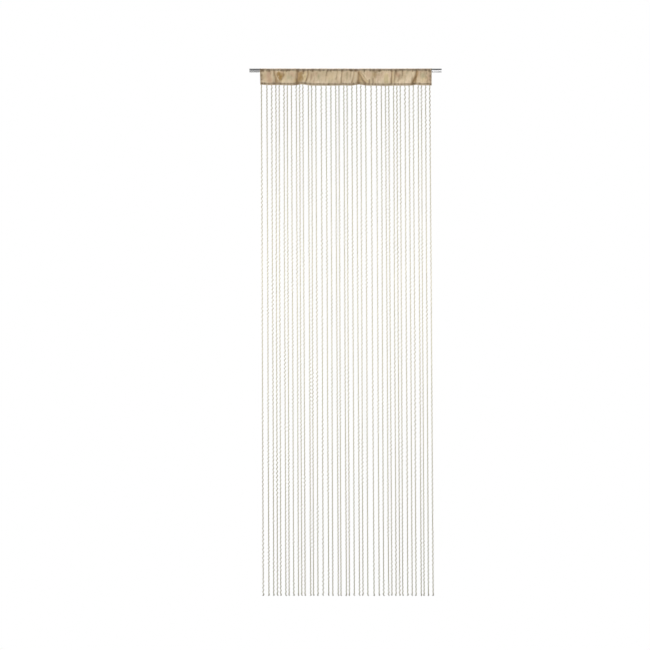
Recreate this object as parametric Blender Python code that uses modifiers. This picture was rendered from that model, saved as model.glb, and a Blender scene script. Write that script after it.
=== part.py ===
"""A string curtain hanging on its rod.

A steel tube carries a gathered cloth header, folded over it in two layers, and a fringe of
strings whose woven head is sewn between those layers along the lower hem.

Metres, +Z up, the front faces -Y. The origin is on the tube's axis, midway along it.
"""

import math
import random
from collections import namedtuple

import bmesh
import bpy
from mathutils import Matrix, Vector

# Driving dimensions.
ROD_LENGTH = 0.910
ROD_RADIUS = 0.009
ROD_WALL = 0.001
ROD_SIDES = 48

CLOTH = 0.0012  # thickness of the header's cloth
HEADER_LEFT, HEADER_RIGHT = -0.4055, 0.4080  # its two side hems
CROWN_RADIUS = 0.0104  # from the rod's axis to the middle of the cloth, where a fold lies on it
TAPER = 0.8  # under 1, the two layers close sooner below the rod
HELD_FROM, HELD_TO = 0.04, 0.70  # shares of the drop over which the folds come free of the rod
HEM_DROP = 0.0722  # from the rod's axis down to the header's lower edge
HEM_HALF_GAP = 0.0027  # from the middle of the two layers to the middle of each, at the hem
PUFF = 0.0030  # how far each layer stands out between two folds
CROWN_PUFF = 0.0004  # the same for the cloth over the rod, which the folds draw down to it
STATIONS = 84  # steps along the header and along the fringe's head
SKIRT_STEPS = 5  # steps down each layer, from the rod's axis to the hem
CROWN_STEPS = 6  # steps over the rod

HEAD_THICKNESS = 0.0024
HEAD_TOP, HEAD_FOOT = 0.80, 0.97  # the fringe's head, in shares of the drop to the hem
HEAD_INSET = 0.004  # from the header's side hem to the end of the fringe's head
STRING_WIDTH = 0.0022
STRING_ROOT = 0.90  # where a string starts inside the head, as a share of the drop to the hem
STRING_END_Z = -2.487
FIRST_STRING_X = -0.398
GAP_WIDTHS = {"n": 0.0157, "c": 0.0197, "m": 0.0227, "w": 0.0258}  # narrow, close, medium, wide
GAPS = "wmcnmncmnn wncwmmmnmn mmcmwwmcnm nnmccmncc".replace(" ", "")  # left to right
LEAN_LEFT, LEAN_RIGHT = 0.009, 0.015  # how far the first and last string drift to +X on the way down
LEAN_SCATTER = 0.002
LEAN_SEED = 12

# A fold of the header. It runs from top_x at the rod to hem_x at the lower edge. A positive depth
# goes back, away from the front, and a negative one comes forward.
Fold = namedtuple("Fold", "top_x hem_x half_width depth")
FOLDS = (
    Fold(-0.374, -0.380, 0.022, -0.0030),
    Fold(-0.338, -0.327, 0.014, 0.0045),
    Fold(-0.290, -0.284, 0.026, -0.0030),
    Fold(-0.230, -0.230, 0.015, 0.0055),
    Fold(-0.205, -0.206, 0.016, -0.0035),
    Fold(-0.178, -0.187, 0.014, 0.0030),
    Fold(-0.121, -0.130, 0.030, -0.0025),
    Fold(-0.040, -0.043, 0.016, 0.0028),
    Fold(-0.017, -0.021, 0.012, 0.0022),
    Fold(0.010, 0.006, 0.020, -0.0025),
    Fold(0.043, 0.030, 0.014, 0.0032),
    Fold(0.062, 0.058, 0.014, 0.0045),
    Fold(0.072, 0.098, 0.015, 0.0035),
    Fold(0.150, 0.146, 0.030, -0.0030),
    Fold(0.195, 0.196, 0.024, 0.0025),
    Fold(0.218, 0.218, 0.012, 0.0035),
    Fold(0.262, 0.256, 0.026, -0.0028),
    Fold(0.335, 0.316, 0.015, 0.0055),
    Fold(0.372, 0.370, 0.024, -0.0030),
)

# Where gathers draw the lower edge up. A negative lift lets it down.
Lift = namedtuple("Lift", "x half_width lift")
LIFTS = (
    Lift(-0.400, 0.022, 0.0030),
    Lift(-0.330, 0.080, 0.0028),
    Lift(-0.205, 0.026, 0.0058),
    Lift(-0.012, 0.016, 0.0014),
    Lift(0.064, 0.022, 0.0055),
    Lift(0.187, 0.022, -0.0014),
    Lift(0.335, 0.018, 0.0034),
    Lift(0.385, 0.035, 0.0012),
)


def bell(distance, half_width):
    """1 at the middle, falling smoothly to almost nothing at two half widths."""
    return math.exp(-((distance / half_width) ** 2))


def ease(share):
    """A smooth step from 0 to 1."""
    share = min(max(share, 0.0), 1.0)
    return share * share * (3.0 - 2.0 * share)


def fold_x(fold, down):
    """Where a fold is at a share of the drop to the hem."""
    return fold.top_x + (fold.hem_x - fold.top_x) * down


def wave(x, down):
    """How far back the two layers lie together. The rod holds them level at the top."""
    freed = ease((down - HELD_FROM) / (HELD_TO - HELD_FROM))
    return freed * sum(f.depth * bell(x - fold_x(f, down), f.half_width) for f in FOLDS)


def fullness(x, down):
    """0 where a fold draws the cloth in, and up to 1 between two folds."""
    return 1.0 - max(bell(x - fold_x(f, down), f.half_width) for f in FOLDS if f.depth > 0)


def crown_radius(x):
    """From the rod's axis to the middle of the cloth that lies over it."""
    return CROWN_RADIUS + CROWN_PUFF * fullness(x, 0.0)


def hem_z(x):
    """Height of the header's lower edge."""
    return -HEM_DROP + sum(r.lift * bell(x - r.x, r.half_width) for r in LIFTS)


def skirt_point(x, down, side):
    """A point of the front (side -1) or back (side 1) layer, below the rod's axis."""
    taper = ease(down) ** TAPER
    puff = PUFF * fullness(x, down) * math.sin(math.pi * down) ** 2
    spread = crown_radius(x) * (1.0 - taper) + HEM_HALF_GAP * taper + puff
    return Vector((x, side * spread + wave(x, down), hem_z(x) * down))


def station_x(column):
    """The x of a step along the header. The fringe's head shares them, so that their facets match."""
    return HEADER_LEFT + (HEADER_RIGHT - HEADER_LEFT) * column / STATIONS


def header_point(x, step):
    """A point of the header's section at a step counted from the front hem over the rod."""
    over = step - SKIRT_STEPS
    if over < 0:
        return skirt_point(x, -over / SKIRT_STEPS, -1)
    if over > CROWN_STEPS:
        return skirt_point(x, (over - CROWN_STEPS) / SKIRT_STEPS, 1)
    angle = math.pi * over / CROWN_STEPS
    radius = crown_radius(x)
    return Vector((x, -radius * math.cos(angle), radius * math.sin(angle)))


def string_places():
    """The x of each string at its root and how far it leans on the way down."""
    scatter = random.Random(LEAN_SEED)
    places, x = [], FIRST_STRING_X
    for i in range(len(GAPS) + 1):
        lean = LEAN_LEFT + (LEAN_RIGHT - LEAN_LEFT) * i / len(GAPS)
        places.append((x, lean + scatter.uniform(-LEAN_SCATTER, LEAN_SCATTER)))
        if i < len(GAPS):
            x += GAP_WIDTHS[GAPS[i]]
    return places


def material(name, colour, roughness, metallic=0.0):
    """A Principled material in one colour."""
    made = bpy.data.materials.new(name)
    made.use_nodes = True
    shader = made.node_tree.nodes["Principled BSDF"]
    shader.inputs["Base Color"].default_value = (*colour, 1.0)
    shader.inputs["Roughness"].default_value = roughness
    shader.inputs["Metallic"].default_value = metallic
    return made


def new_object(name, bm, collection, finish=None):
    """Makes an object of a bmesh, and frees the bmesh."""
    mesh = bpy.data.meshes.new(name)
    bmesh.ops.recalc_face_normals(bm, faces=bm.faces)
    bm.to_mesh(mesh)
    bm.free()
    made = bpy.data.objects.new(name, mesh)
    collection.objects.link(made)
    if finish:
        mesh.materials.append(finish)
    return made


def shaped_grid(columns, rows, place):
    """A grid whose vertex at (column, row) goes where place says."""
    bm = bmesh.new()
    bmesh.ops.create_grid(bm, x_segments=columns, y_segments=rows, size=0.5)
    for v in bm.verts:
        column = round((v.co.x + 0.5) * columns)
        row = round((v.co.y + 0.5) * rows)
        v.co = place(column, row)
    return bm


def thicken(made, thickness):
    """Gives an open surface its thickness, half to each side."""
    solid = made.modifiers.new("Thickness", "SOLIDIFY")
    solid.thickness = thickness
    solid.offset = 0.0
    solid.use_even_offset = True
    return solid


def make_rod(collection):
    """A tube: its wall's section turned about Z, then laid along X."""
    half = ROD_LENGTH / 2
    corners = [(ROD_RADIUS, half), (ROD_RADIUS, -half), (ROD_RADIUS - ROD_WALL, -half),
               (ROD_RADIUS - ROD_WALL, half)]
    bm = bmesh.new()
    verts = [bm.verts.new((radius, 0.0, z)) for radius, z in corners]
    for i, v in enumerate(verts):
        bm.edges.new((v, verts[(i + 1) % len(verts)]))
    mesh = bpy.data.meshes.new("rod")
    bm.to_mesh(mesh)
    bm.free()
    rod = bpy.data.objects.new("rod", mesh)
    collection.objects.link(rod)
    turn = rod.modifiers.new("Turn", "SCREW")
    turn.steps = turn.render_steps = ROD_SIDES
    turn.use_merge_vertices = True
    turn.merge_threshold = 0.00001
    rod.rotation_euler = (0.0, math.pi / 2, 0.0)
    mesh.materials.append(material("rod", (0.60, 0.60, 0.61), 0.22, 1.0))
    return rod


def make_header(collection):
    """One sheet folded over the rod, with a front and a back layer."""
    rows = 2 * SKIRT_STEPS + CROWN_STEPS

    def place(column, row):
        return header_point(station_x(column), row)

    bm = shaped_grid(STATIONS, rows, place)
    header = new_object("header", bm, collection, material("header", (0.51, 0.39, 0.26), 0.42))
    thicken(header, CLOTH)
    return header


def make_strings(collection, cutters):
    """The fringe: a woven head that follows the header's folds, with the strings joined to it."""
    def place(column, row):
        x = min(max(station_x(column), HEADER_LEFT + HEAD_INSET), HEADER_RIGHT - HEAD_INSET)
        down = HEAD_TOP + (HEAD_FOOT - HEAD_TOP) * row
        return Vector((x, wave(x, down), hem_z(x) * down))

    bm = shaped_grid(STATIONS, 1, place)
    strings = new_object("strings", bm, collection, material("strings", (0.50, 0.42, 0.31), 0.75))
    thicken(strings, HEAD_THICKNESS)

    bm = bmesh.new()
    for x, lean in string_places():
        top = hem_z(x) * STRING_ROOT
        nudge = STRING_WIDTH / 2
        slope = wave(x + nudge, STRING_ROOT) - wave(x - nudge, STRING_ROOT)
        turned = Matrix.Rotation(math.atan2(slope, STRING_WIDTH), 4, "Z")
        size = Matrix.Diagonal((STRING_WIDTH, STRING_WIDTH, top - STRING_END_Z, 1.0))
        middle = Matrix.Translation((x, wave(x, STRING_ROOT), (top + STRING_END_Z) / 2))
        cube = bmesh.ops.create_cube(bm, size=1.0, matrix=middle @ turned @ size)
        for v in cube["verts"]:
            if v.co.z < middle.translation.z:
                v.co.x += lean
    cords = new_object("string_cutter", bm, cutters)
    cords.hide_render = True
    cords.display_type = "WIRE"
    join = strings.modifiers.new("Strings", "BOOLEAN")
    join.operation = "UNION"
    join.object = cords
    return strings


def main():
    """Clears the scene and builds the curtain."""
    for old in list(bpy.data.objects):
        bpy.data.objects.remove(old)
    curtain = bpy.data.collections.new("string_curtain")
    cutters = bpy.data.collections.new("cutters")
    bpy.context.scene.collection.children.link(curtain)
    bpy.context.scene.collection.children.link(cutters)
    make_rod(curtain)
    make_header(curtain)
    make_strings(curtain, cutters)


main()
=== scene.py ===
"""A string curtain on its rod: the gathered satin header, its stitching, the fringe of twisted
strings, the polished rod and a plain studio.

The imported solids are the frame. The header and the strings are modelled again in full detail in
the places of their solids, and the rod keeps its solid and gets its finish.

Metres, +Z up, the front faces -Y, and the origin is on the rod's axis, midway along it.
"""

import logging
import math
import random
from dataclasses import dataclass, field
from enum import Enum
from typing import Any, NamedTuple, Optional, Sequence

import bpy
import numpy as np
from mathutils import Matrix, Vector


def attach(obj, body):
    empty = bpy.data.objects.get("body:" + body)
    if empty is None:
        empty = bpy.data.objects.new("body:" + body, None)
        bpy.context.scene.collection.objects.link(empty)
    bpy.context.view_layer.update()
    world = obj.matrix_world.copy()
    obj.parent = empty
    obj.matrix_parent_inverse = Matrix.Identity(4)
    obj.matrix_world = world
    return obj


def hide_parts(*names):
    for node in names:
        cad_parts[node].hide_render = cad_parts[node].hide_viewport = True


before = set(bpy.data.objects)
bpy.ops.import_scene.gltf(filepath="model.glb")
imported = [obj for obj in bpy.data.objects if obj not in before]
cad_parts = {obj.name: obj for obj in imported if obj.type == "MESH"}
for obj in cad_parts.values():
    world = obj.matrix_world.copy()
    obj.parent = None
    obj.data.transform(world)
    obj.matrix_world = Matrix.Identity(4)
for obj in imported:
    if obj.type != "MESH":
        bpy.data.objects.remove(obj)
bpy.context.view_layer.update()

log = logging.getLogger("string_curtain")

Colour = tuple[float, float, float]
Place = tuple[float, float, float]
Array = np.ndarray

FULL_TURN = 2.0 * math.pi


class Side(Enum):
    """A layer of the header, by the direction it faces along Y."""

    FRONT = -1
    BACK = 1


class Tone(Enum):
    """A tone laid over the satin in places, by the name of its number in the mesh: painted sheen, a painted
    highlight, painted warm shade in folds, and painted shade in creases, nicks, hems and along the crown.
    """

    ROSE_SHEEN = "rose_bloom_and_sheen"
    MOSS_SHEEN = "moss_bloom_and_sheen"
    STRAW_HIGHLIGHT = "straw_highlight"
    WARM_FOLD_SHADE = "warm_fold_shade"
    CREASE = "crease"
    ROLLED_SHADE = "rolled"


# ---------------------------------------------------------------------------- small helpers


def bell(distance: Array, half_width: float) -> Array:
    """Gives 1 at the middle, falling smoothly to almost nothing at two half widths."""
    return np.exp(-((distance / half_width) ** 2))


def ease(share: Array) -> Array:
    """Gives a smooth step from 0 to 1."""
    share = np.clip(share, 0.0, 1.0)
    return share * share * (3.0 - 2.0 * share)


def window(places: Array, low: float, high: float, fade: float) -> Array:
    """Gives 1 between two places and 0 outside them, with a smooth step inside each end."""
    return ease((places - low) / fade) * ease((high - places) / fade)


def drifting_wave(x: Array, step: float, drift: float, pace: float) -> Array:
    """Gives a wave along X whose crests come a step apart, but now sooner and now later."""
    return np.sin(x * FULL_TURN / step + drift * np.sin(pace * x))


def spaced(line: Array, density: Array, number: int) -> Array:
    """Picks a number of places along a line, closer together where it is denser."""
    total = np.concatenate([[0.0], np.cumsum(0.5 * (density[1:] + density[:-1]))])
    return np.interp(np.linspace(0.0, total[-1], number), total, line)


def link_object(name: str, data: bpy.types.ID) -> bpy.types.Object:
    """Makes an object of a mesh, a light or a camera, and puts it in the scene.

    Args:
        name: The object's name.
        data: What it shows.

    Returns:
        The new object.
    """
    made = bpy.data.objects.new(name, data)
    bpy.context.scene.collection.objects.link(made)
    return made


def mesh_object(
    name: str,
    vertices: Array,
    faces: list[list[int]],
    materials: Sequence[bpy.types.Material],
) -> bpy.types.Object:
    """Makes a smooth-shaded mesh object.

    Args:
        name: The piece's name.
        vertices: One row of x, y, z for each vertex.
        faces: The vertex numbers of each face, counted round its outer side.
        materials: The piece's finishes, the first of which all faces get.

    Returns:
        The new object, linked to the scene.
    """
    mesh = bpy.data.meshes.new(name)
    mesh.from_pydata(vertices.tolist(), [], faces)
    mesh.update()
    mesh.shade_smooth()
    for finish in materials:
        mesh.materials.append(finish)
    return link_object(name, mesh)


def set_attribute(made: bpy.types.Object, name: str, values: Array) -> None:
    """Stores one number for each vertex, for the piece's material to read."""
    layer = made.data.attributes.new(name, "FLOAT", "POINT")
    layer.data.foreach_set("value", np.ascontiguousarray(values, dtype=np.float32).ravel())


class TubeMesh:
    """Collects closed tubes, each given as rings of points along its middle line, into one mesh."""

    def __init__(self) -> None:
        """Starts with nothing in it."""
        self.vertices: list[Array] = []
        self.faces: list[list[int]] = []
        self.values: dict[str, list[Array]] = {}
        self.count = 0

    def add(self, rings: Array, **values: Array) -> None:
        """Adds a tube.

        Args:
            rings: The points, by ring, by place round the ring, and by x, y and z. Seen from the
                tube's far end, a ring runs counter-clockwise.
            values: Numbers for the material, one for each point of each ring.
        """
        number, sides, _ = rings.shape
        here = np.arange(sides)
        there = np.roll(here, -1)
        first = self.count + np.arange(number - 1)[:, None] * sides
        quads = np.stack([first + here, first + there, first + sides + there, first + sides + here], axis=2)
        self.faces += quads.reshape(-1, 4).tolist()
        foot, head = self.count + number * sides, self.count + number * sides + 1
        last = self.count + (number - 1) * sides
        self.faces += [[foot, self.count + int(b), self.count + int(a)] for a, b in zip(here, there)]
        self.faces += [[head, last + int(a), last + int(b)] for a, b in zip(here, there)]
        self.vertices += [rings.reshape(-1, 3), rings[:1].mean(axis=1), rings[-1:].mean(axis=1)]
        for name, numbers in values.items():
            ends = [numbers[:1].mean(axis=1), numbers[-1:].mean(axis=1)]
            self.values.setdefault(name, []).extend([numbers.ravel(), *ends])
        self.count += number * sides + 2

    def build(self, name: str, finish: bpy.types.Material) -> bpy.types.Object:
        """Makes the object that holds all the tubes.

        Args:
            name: The piece's name.
            finish: The piece's finish.

        Returns:
            The piece, with its numbers stored for each vertex.
        """
        made = mesh_object(name, np.concatenate(self.vertices), self.faces, [finish])
        for key, numbers in self.values.items():
            set_attribute(made, key, np.concatenate(numbers))
        return made


class NodeGraph:
    """A node tree, with short ways to add what the finishes and the surroundings use.

    A mix node has sockets for each kind of value under the same names, so those for colours are
    found by number.
    """

    MIX_SHARE, MIX_FIRST, MIX_SECOND, MIX_RESULT = 0, 6, 7, 2

    def __init__(self, tree: bpy.types.NodeTree) -> None:
        """Takes over a tree."""
        self.tree = tree

    def feed(self, node: bpy.types.Node, values: dict[Any, Any]) -> None:
        """Links outputs to a node's sockets, or sets the sockets' own values.

        Args:
            node: The node.
            values: An output, a number or a colour for each socket, by the socket's name or number.
        """
        for key, value in values.items():
            socket = node.inputs[key]
            if isinstance(value, bpy.types.NodeSocket):
                self.tree.links.new(value, socket)
            elif socket.type == "RGBA":
                socket.default_value = (*value, 1.0)
            else:
                socket.default_value = value

    def node(self, kind: str, values: Optional[dict[Any, Any]] = None, **settings: Any) -> bpy.types.Node:
        """Adds a node, sets its properties and feeds its sockets.

        Args:
            kind: The node's type.
            values: What its sockets get, by the socket's name or number.
            settings: Its properties, by name.

        Returns:
            The new node.
        """
        made = self.tree.nodes.new(kind)
        for key, value in settings.items():
            setattr(made, key, value)
        self.feed(made, values or {})
        return made

    def spread(self, value: bpy.types.NodeSocket, low: float, high: float, to_low: float = 0.0,
               to_high: float = 1.0, interpolation: str = "LINEAR") -> bpy.types.NodeSocket:
        """Stretches a range of a number to another range, and holds it within that.

        Args:
            value: The number.
            low: Where its range starts.
            high: Where its range ends.
            to_low: What the start becomes.
            to_high: What the end becomes.
            interpolation: How it runs from one to the other.

        Returns:
            The stretched number.
        """
        made = self.node(
            "ShaderNodeMapRange",
            {"Value": value, "From Min": low, "From Max": high, "To Min": to_low, "To Max": to_high},
            interpolation_type=interpolation,
        )
        return made.outputs["Result"]

    def maths(self, operation: str, first: Any, second: Any) -> bpy.types.NodeSocket:
        """Combines two numbers."""
        return self.node("ShaderNodeMath", {0: first, 1: second}, operation=operation).outputs["Value"]

    def mix(self, share: Any, first: Any, second: Any) -> bpy.types.NodeSocket:
        """Lays a second colour over a first by a share from 0 to 1."""
        colours = {self.MIX_SHARE: share, self.MIX_FIRST: first, self.MIX_SECOND: second}
        return self.node("ShaderNodeMix", colours, data_type="RGBA").outputs[self.MIX_RESULT]


class FinishGraph(NodeGraph):
    """A material's node tree, with the patterns that finishes are made of."""

    def __init__(self, name: str) -> None:
        """Makes an empty material with a Principled shader.

        Args:
            name: The material's name.
        """
        self.material = bpy.data.materials.new(name)
        self.material.use_nodes = True
        super().__init__(self.material.node_tree)
        self.shader = self.tree.nodes["Principled BSDF"]

    def attribute(self, name: str) -> bpy.types.NodeSocket:
        """Reads a number that the mesh holds for each vertex."""
        return self.node("ShaderNodeAttribute", attribute_name=name).outputs["Fac"]

    def place(self, scale: Place = (1.0, 1.0, 1.0), held: Optional[str] = None) -> bpy.types.NodeSocket:
        """Gives the piece's own coordinates, or places that its mesh holds, stretched by a scale.

        Args:
            scale: How much each of X, Y and Z is stretched.
            held: The name of the places in the mesh, if they are used.

        Returns:
            The places.
        """
        if held:
            source = self.node("ShaderNodeAttribute", attribute_name=held).outputs["Vector"]
        else:
            source = self.node("ShaderNodeTexCoord").outputs["Object"]
        return self.node("ShaderNodeMapping", {"Vector": source, "Scale": scale}).outputs["Vector"]

    def noise(self, where: bpy.types.NodeSocket, scale: float, detail: float = 2.0,
              roughness: float = 0.5) -> bpy.types.NodeSocket:
        """Adds a noise pattern and gives its number."""
        values = {"Vector": where, "Scale": scale, "Detail": detail, "Roughness": roughness}
        return self.node("ShaderNodeTexNoise", values).outputs["Fac"]

    def wave(self, where: bpy.types.NodeSocket, length: float, direction: str,
             distortion: float) -> bpy.types.NodeSocket:
        """Adds a pattern of even bands.

        Args:
            where: The places that it runs through.
            length: How far apart the bands are. Diagonal ones are twice as far apart along an axis.
            direction: The axis that they cross, or DIAGONAL.
            distortion: How unevenly they run.

        Returns:
            The pattern's number.
        """
        scale = FULL_TURN / (20.0 * length)
        values = {"Vector": where, "Scale": scale, "Distortion": distortion}
        return self.node("ShaderNodeTexWave", values, bands_direction=direction).outputs["Fac"]

    def bump(self, height: bpy.types.NodeSocket, strength: float, distance: float) -> None:
        """Gives the shader a bumpy normal from a height pattern."""
        made = self.node("ShaderNodeBump", {"Strength": strength, "Distance": distance, "Height": height})
        self.feed(self.shader, {"Normal": made.outputs["Normal"]})

    def finish(self, colour: bpy.types.NodeSocket, roughness: bpy.types.NodeSocket,
               constants: Optional[dict[str, float]] = None) -> bpy.types.Material:
        """Feeds the shader and gives the finished material.

        Args:
            colour: The pattern of the colour.
            roughness: The pattern of the roughness.
            constants: Numbers that are the same all over, by the name of the shader's socket.

        Returns:
            The material.
        """
        self.feed(self.shader, {"Base Color": colour, "Roughness": roughness, **(constants or {})})
        return self.material


# ---------------------------------------------------------------------------- finishes


@dataclass(frozen=True)
class SatinFinish:
    """Beige satin: a soft sheen, a fine cross weave, random mottled tones, and painted sheen, painted
    highlights and painted shade in its folds, nicks and hems.
    """

    light: Colour = (0.705, 0.57, 0.39)
    deep: Colour = (0.55, 0.428, 0.268)
    # The next two colours give the random bloom and also the painted sheen of the patches. Of the four
    # after them, the first paints a highlight, the second paints shade warmed by light bounced in the
    # folds, and the other two paint shade.
    rose_bloom_and_sheen: Colour = (0.56, 0.38, 0.255)
    moss_bloom_and_sheen: Colour = (0.5, 0.435, 0.27)
    straw_highlight: Colour = (0.665, 0.52, 0.275)
    warm_fold_shade: Colour = (0.31, 0.18, 0.044)
    crease: Colour = (0.16, 0.101, 0.048)
    rolled: Colour = (0.265, 0.222, 0.165)
    bloom: float = 0.6
    thread_width: float = 0.0009

    def build(self) -> bpy.types.Material:
        """Makes the material from the header's map and its number for each tone, which lays painted sheen,
        highlights and shade.

        Returns:
            The satin.
        """
        graph = FinishGraph("beige_satin")
        cloth = graph.place(held=Header.MAP)
        mottle = graph.noise(graph.place((1.0, 1.0, 0.45)), 34.0, 5.0, 0.68)
        patches = graph.noise(graph.place((1.0, 1.0, 0.55)), 58.0)
        slubs = graph.noise(graph.place((1.0, 0.12, 1.0), Header.MAP), 420.0)
        colour = graph.mix(graph.spread(mottle, 0.3, 0.7), self.deep, self.light)
        colour = graph.mix(graph.spread(patches, 0.55, 0.75, 0.0, self.bloom), colour, self.rose_bloom_and_sheen)
        colour = graph.mix(graph.spread(patches, 0.45, 0.25, 0.0, self.bloom), colour, self.moss_bloom_and_sheen)
        colour = graph.mix(graph.spread(slubs, 0.35, 0.75, 0.0, 0.22), colour, self.deep)
        # Lays the painted sheen, highlight and shade that the mesh holds for each tone.
        laid = {Tone.STRAW_HIGHLIGHT: self.straw_highlight, Tone.ROSE_SHEEN: self.rose_bloom_and_sheen, Tone.WARM_FOLD_SHADE: self.warm_fold_shade,
                Tone.MOSS_SHEEN: self.moss_bloom_and_sheen, Tone.ROLLED_SHADE: self.rolled, Tone.CREASE: self.crease}
        for tone, toned in laid.items():
            colour = graph.mix(graph.attribute(tone.value), colour, toned)
        weft = graph.wave(cloth, self.thread_width, "Y", 0.6)
        warp = graph.wave(cloth, self.thread_width, "X", 0.6)
        graph.bump(graph.maths("MULTIPLY", weft, warp), 0.25, 0.0002)
        return graph.finish(colour, graph.spread(mottle, 0.3, 0.7, 0.52, 0.4), {
            "Sheen Weight": 0.25, "Sheen Roughness": 0.4, "Anisotropic": 0.35, "Specular IOR Level": 0.45,
        })


@dataclass(frozen=True)
class CordFinish:
    """Matt twisted cord with a slightly different tone for each string, and painted shade down in the
    twist, at the kinks and towards both ends.
    """

    light: Colour = (0.64, 0.602, 0.49)
    shade: Colour = (0.292, 0.264, 0.145)
    tip: Colour = (0.14, 0.122, 0.062)
    strand: float = 0.0013

    def build(self) -> bpy.types.Material:
        """Makes the material from each string's groove, tone and tip numbers.

        Returns:
            The cord's finish.
        """
        graph = FinishGraph("twisted_cord")
        fibres = graph.noise(graph.place((1.0, 1.0, 0.35)), 900.0)
        stretch = graph.noise(graph.place(), 9.0)
        lay = graph.wave(graph.place(), self.strand, "DIAGONAL", 0.9)
        # Painted shade down in the grooves between the plies.
        ply = graph.maths("MULTIPLY", graph.attribute("groove"), 0.5)
        twist = graph.maths("ADD", ply, graph.spread(lay, 0.1, 0.9, 0.55, -0.05))
        depth = graph.maths("ADD", twist, graph.spread(fibres, 0.3, 0.7, -0.12, 0.12))
        graph.bump(lay, 0.6, 0.0004)
        colour = graph.mix(graph.spread(depth, 0.0, 1.0), self.light, self.shade)
        # Each string's own tone, with painted shade at the kinks and towards both ends.
        toned = graph.maths("ADD", graph.attribute("tone"), graph.spread(stretch, 0.35, 0.65, 0.0, 0.12))
        colour = graph.mix(toned, colour, self.shade)
        colour = graph.mix(graph.attribute("tip"), colour, self.tip)
        return graph.finish(colour, graph.spread(fibres, 0.3, 0.7, 0.72, 0.88), {
            "Sheen Weight": 0.04, "Sheen Roughness": 0.5, "Specular IOR Level": 0.15,
        })


@dataclass(frozen=True)
class ThreadFinish:
    """Sewing thread, a good deal darker than the cloth it holds."""

    colour: Colour = (0.12, 0.092, 0.062)
    worn: Colour = (0.19, 0.15, 0.105)

    def build(self) -> bpy.types.Material:
        """Makes the material.

        Returns:
            The thread's finish.
        """
        graph = FinishGraph("sewing_thread")
        ply = graph.noise(graph.place(), 1400.0)
        colour = graph.mix(graph.spread(ply, 0.35, 0.65), self.colour, self.worn)
        return graph.finish(colour, graph.spread(ply, 0.3, 0.7, 0.5, 0.65), {"Sheen Weight": 0.2})


@dataclass(frozen=True)
class ChromeFinish:
    """Polished plating with faint draw lines along the tube and a little handling haze."""

    bright: Colour = (0.78, 0.78, 0.79)
    dull: Colour = (0.66, 0.66, 0.67)

    def build(self) -> bpy.types.Material:
        """Makes the material.

        Returns:
            The plating.
        """
        graph = FinishGraph("polished_tube")
        haze = graph.noise(graph.place(), 30.0, 4.0, 0.6)
        lines = graph.noise(graph.place((0.02, 1.0, 1.0)), 2600.0)
        colour = graph.mix(graph.spread(haze, 0.35, 0.7), self.bright, self.dull)
        hazy, drawn = graph.spread(haze, 0.35, 0.7, 0.08, 0.16), graph.spread(lines, 0.3, 0.7, 0.0, 0.05)
        graph.bump(lines, 0.05, 0.00005)
        return graph.finish(colour, graph.maths("ADD", hazy, drawn), {"Metallic": 1.0})


@dataclass(frozen=True)
class FloorFinish:
    """A plain pale studio floor."""

    dark: Colour = (0.76, 0.76, 0.75)
    light: Colour = (0.82, 0.82, 0.81)

    def build(self) -> bpy.types.Material:
        """Makes the material.

        Returns:
            The floor's finish.
        """
        graph = FinishGraph("pale_floor")
        cloud = graph.noise(graph.place(), 1.5, 4.0)
        colour = graph.mix(graph.spread(cloud, 0.3, 0.7), self.dark, self.light)
        return graph.finish(colour, graph.spread(cloud, 0.3, 0.7, 0.75, 0.9))


# ---------------------------------------------------------------------------- the header


class Fold(NamedTuple):
    """A broad fold that both layers share. Positive depths go back, negative ones come forward."""

    top_x: float
    hem_x: float
    half_width: float
    depth: float


class Lift(NamedTuple):
    """A place where gathers draw the lower edge up. A negative lift lets it down."""

    x: float
    half_width: float
    lift: float


class Crease(NamedTuple):
    """A crease of one layer, along a path of x and rise places on its face, from its top down.

    Attributes:
        path: The places.
        half_width: Half its width at its top.
        foot: Half its width at its foot.
        depth: How far it sinks into the cloth. A negative depth stands out of it as a ridge.
        lip: The height of the ridge along its +X edge.
        shade: How dark the painted shade in its bottom gets.
        glow: How much the light bounced inside it warms its sides, as painted warm shade.
    """

    path: tuple[tuple[float, float], ...]
    half_width: float
    foot: float
    depth: float
    lip: float
    shade: float
    glow: float


class Patch(NamedTuple):
    """A soft-edged patch where the cloth doubles under itself or leans, painted with shade, a highlight or
    sheen in another tone.

    Attributes:
        x: Its middle along the rod.
        rise: Its middle by height.
        half_width: Half its width.
        half_height: Half its height.
        tone: Its tone, which is painted sheen, a painted highlight or painted shade.
        share: How strong the painted tone is.
        crisp: How sharp its edge is.
        dip: How far it sinks into the cloth.
        lean: How far it leans to +X for each metre up.
    """

    x: float
    rise: float
    half_width: float
    half_height: float
    tone: Tone
    share: float
    crisp: float = 1.0
    dip: float = 0.0
    lean: float = 0.0


class Notch(NamedTuple):
    """A place where a gather crosses the crown and pulls a nick into the cloth below it, with painted shade
    in the nick.
    """

    x: float
    half_width: float
    reach: float
    shade: float


class Waver(NamedTuple):
    """A slow and a fast wave that keep a crease or an edge from running straight.

    Attributes:
        size: The slow wave's height.
        slow: How fast the slow wave turns up the cloth, in radians a metre.
        fast: The same for the fast wave.
        share: The fast wave's height, as a share of the slow one's.
    """

    size: float
    slow: float
    fast: float
    share: float

    def shift(self, rise: Array, x: Array) -> Array:
        """Tells how far to the side the waves move a place."""
        slow, fast = np.sin(self.slow * rise + 31.0 * x), np.sin(self.fast * rise + 57.0 * x)
        return self.size * (slow + self.share * fast)


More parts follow.
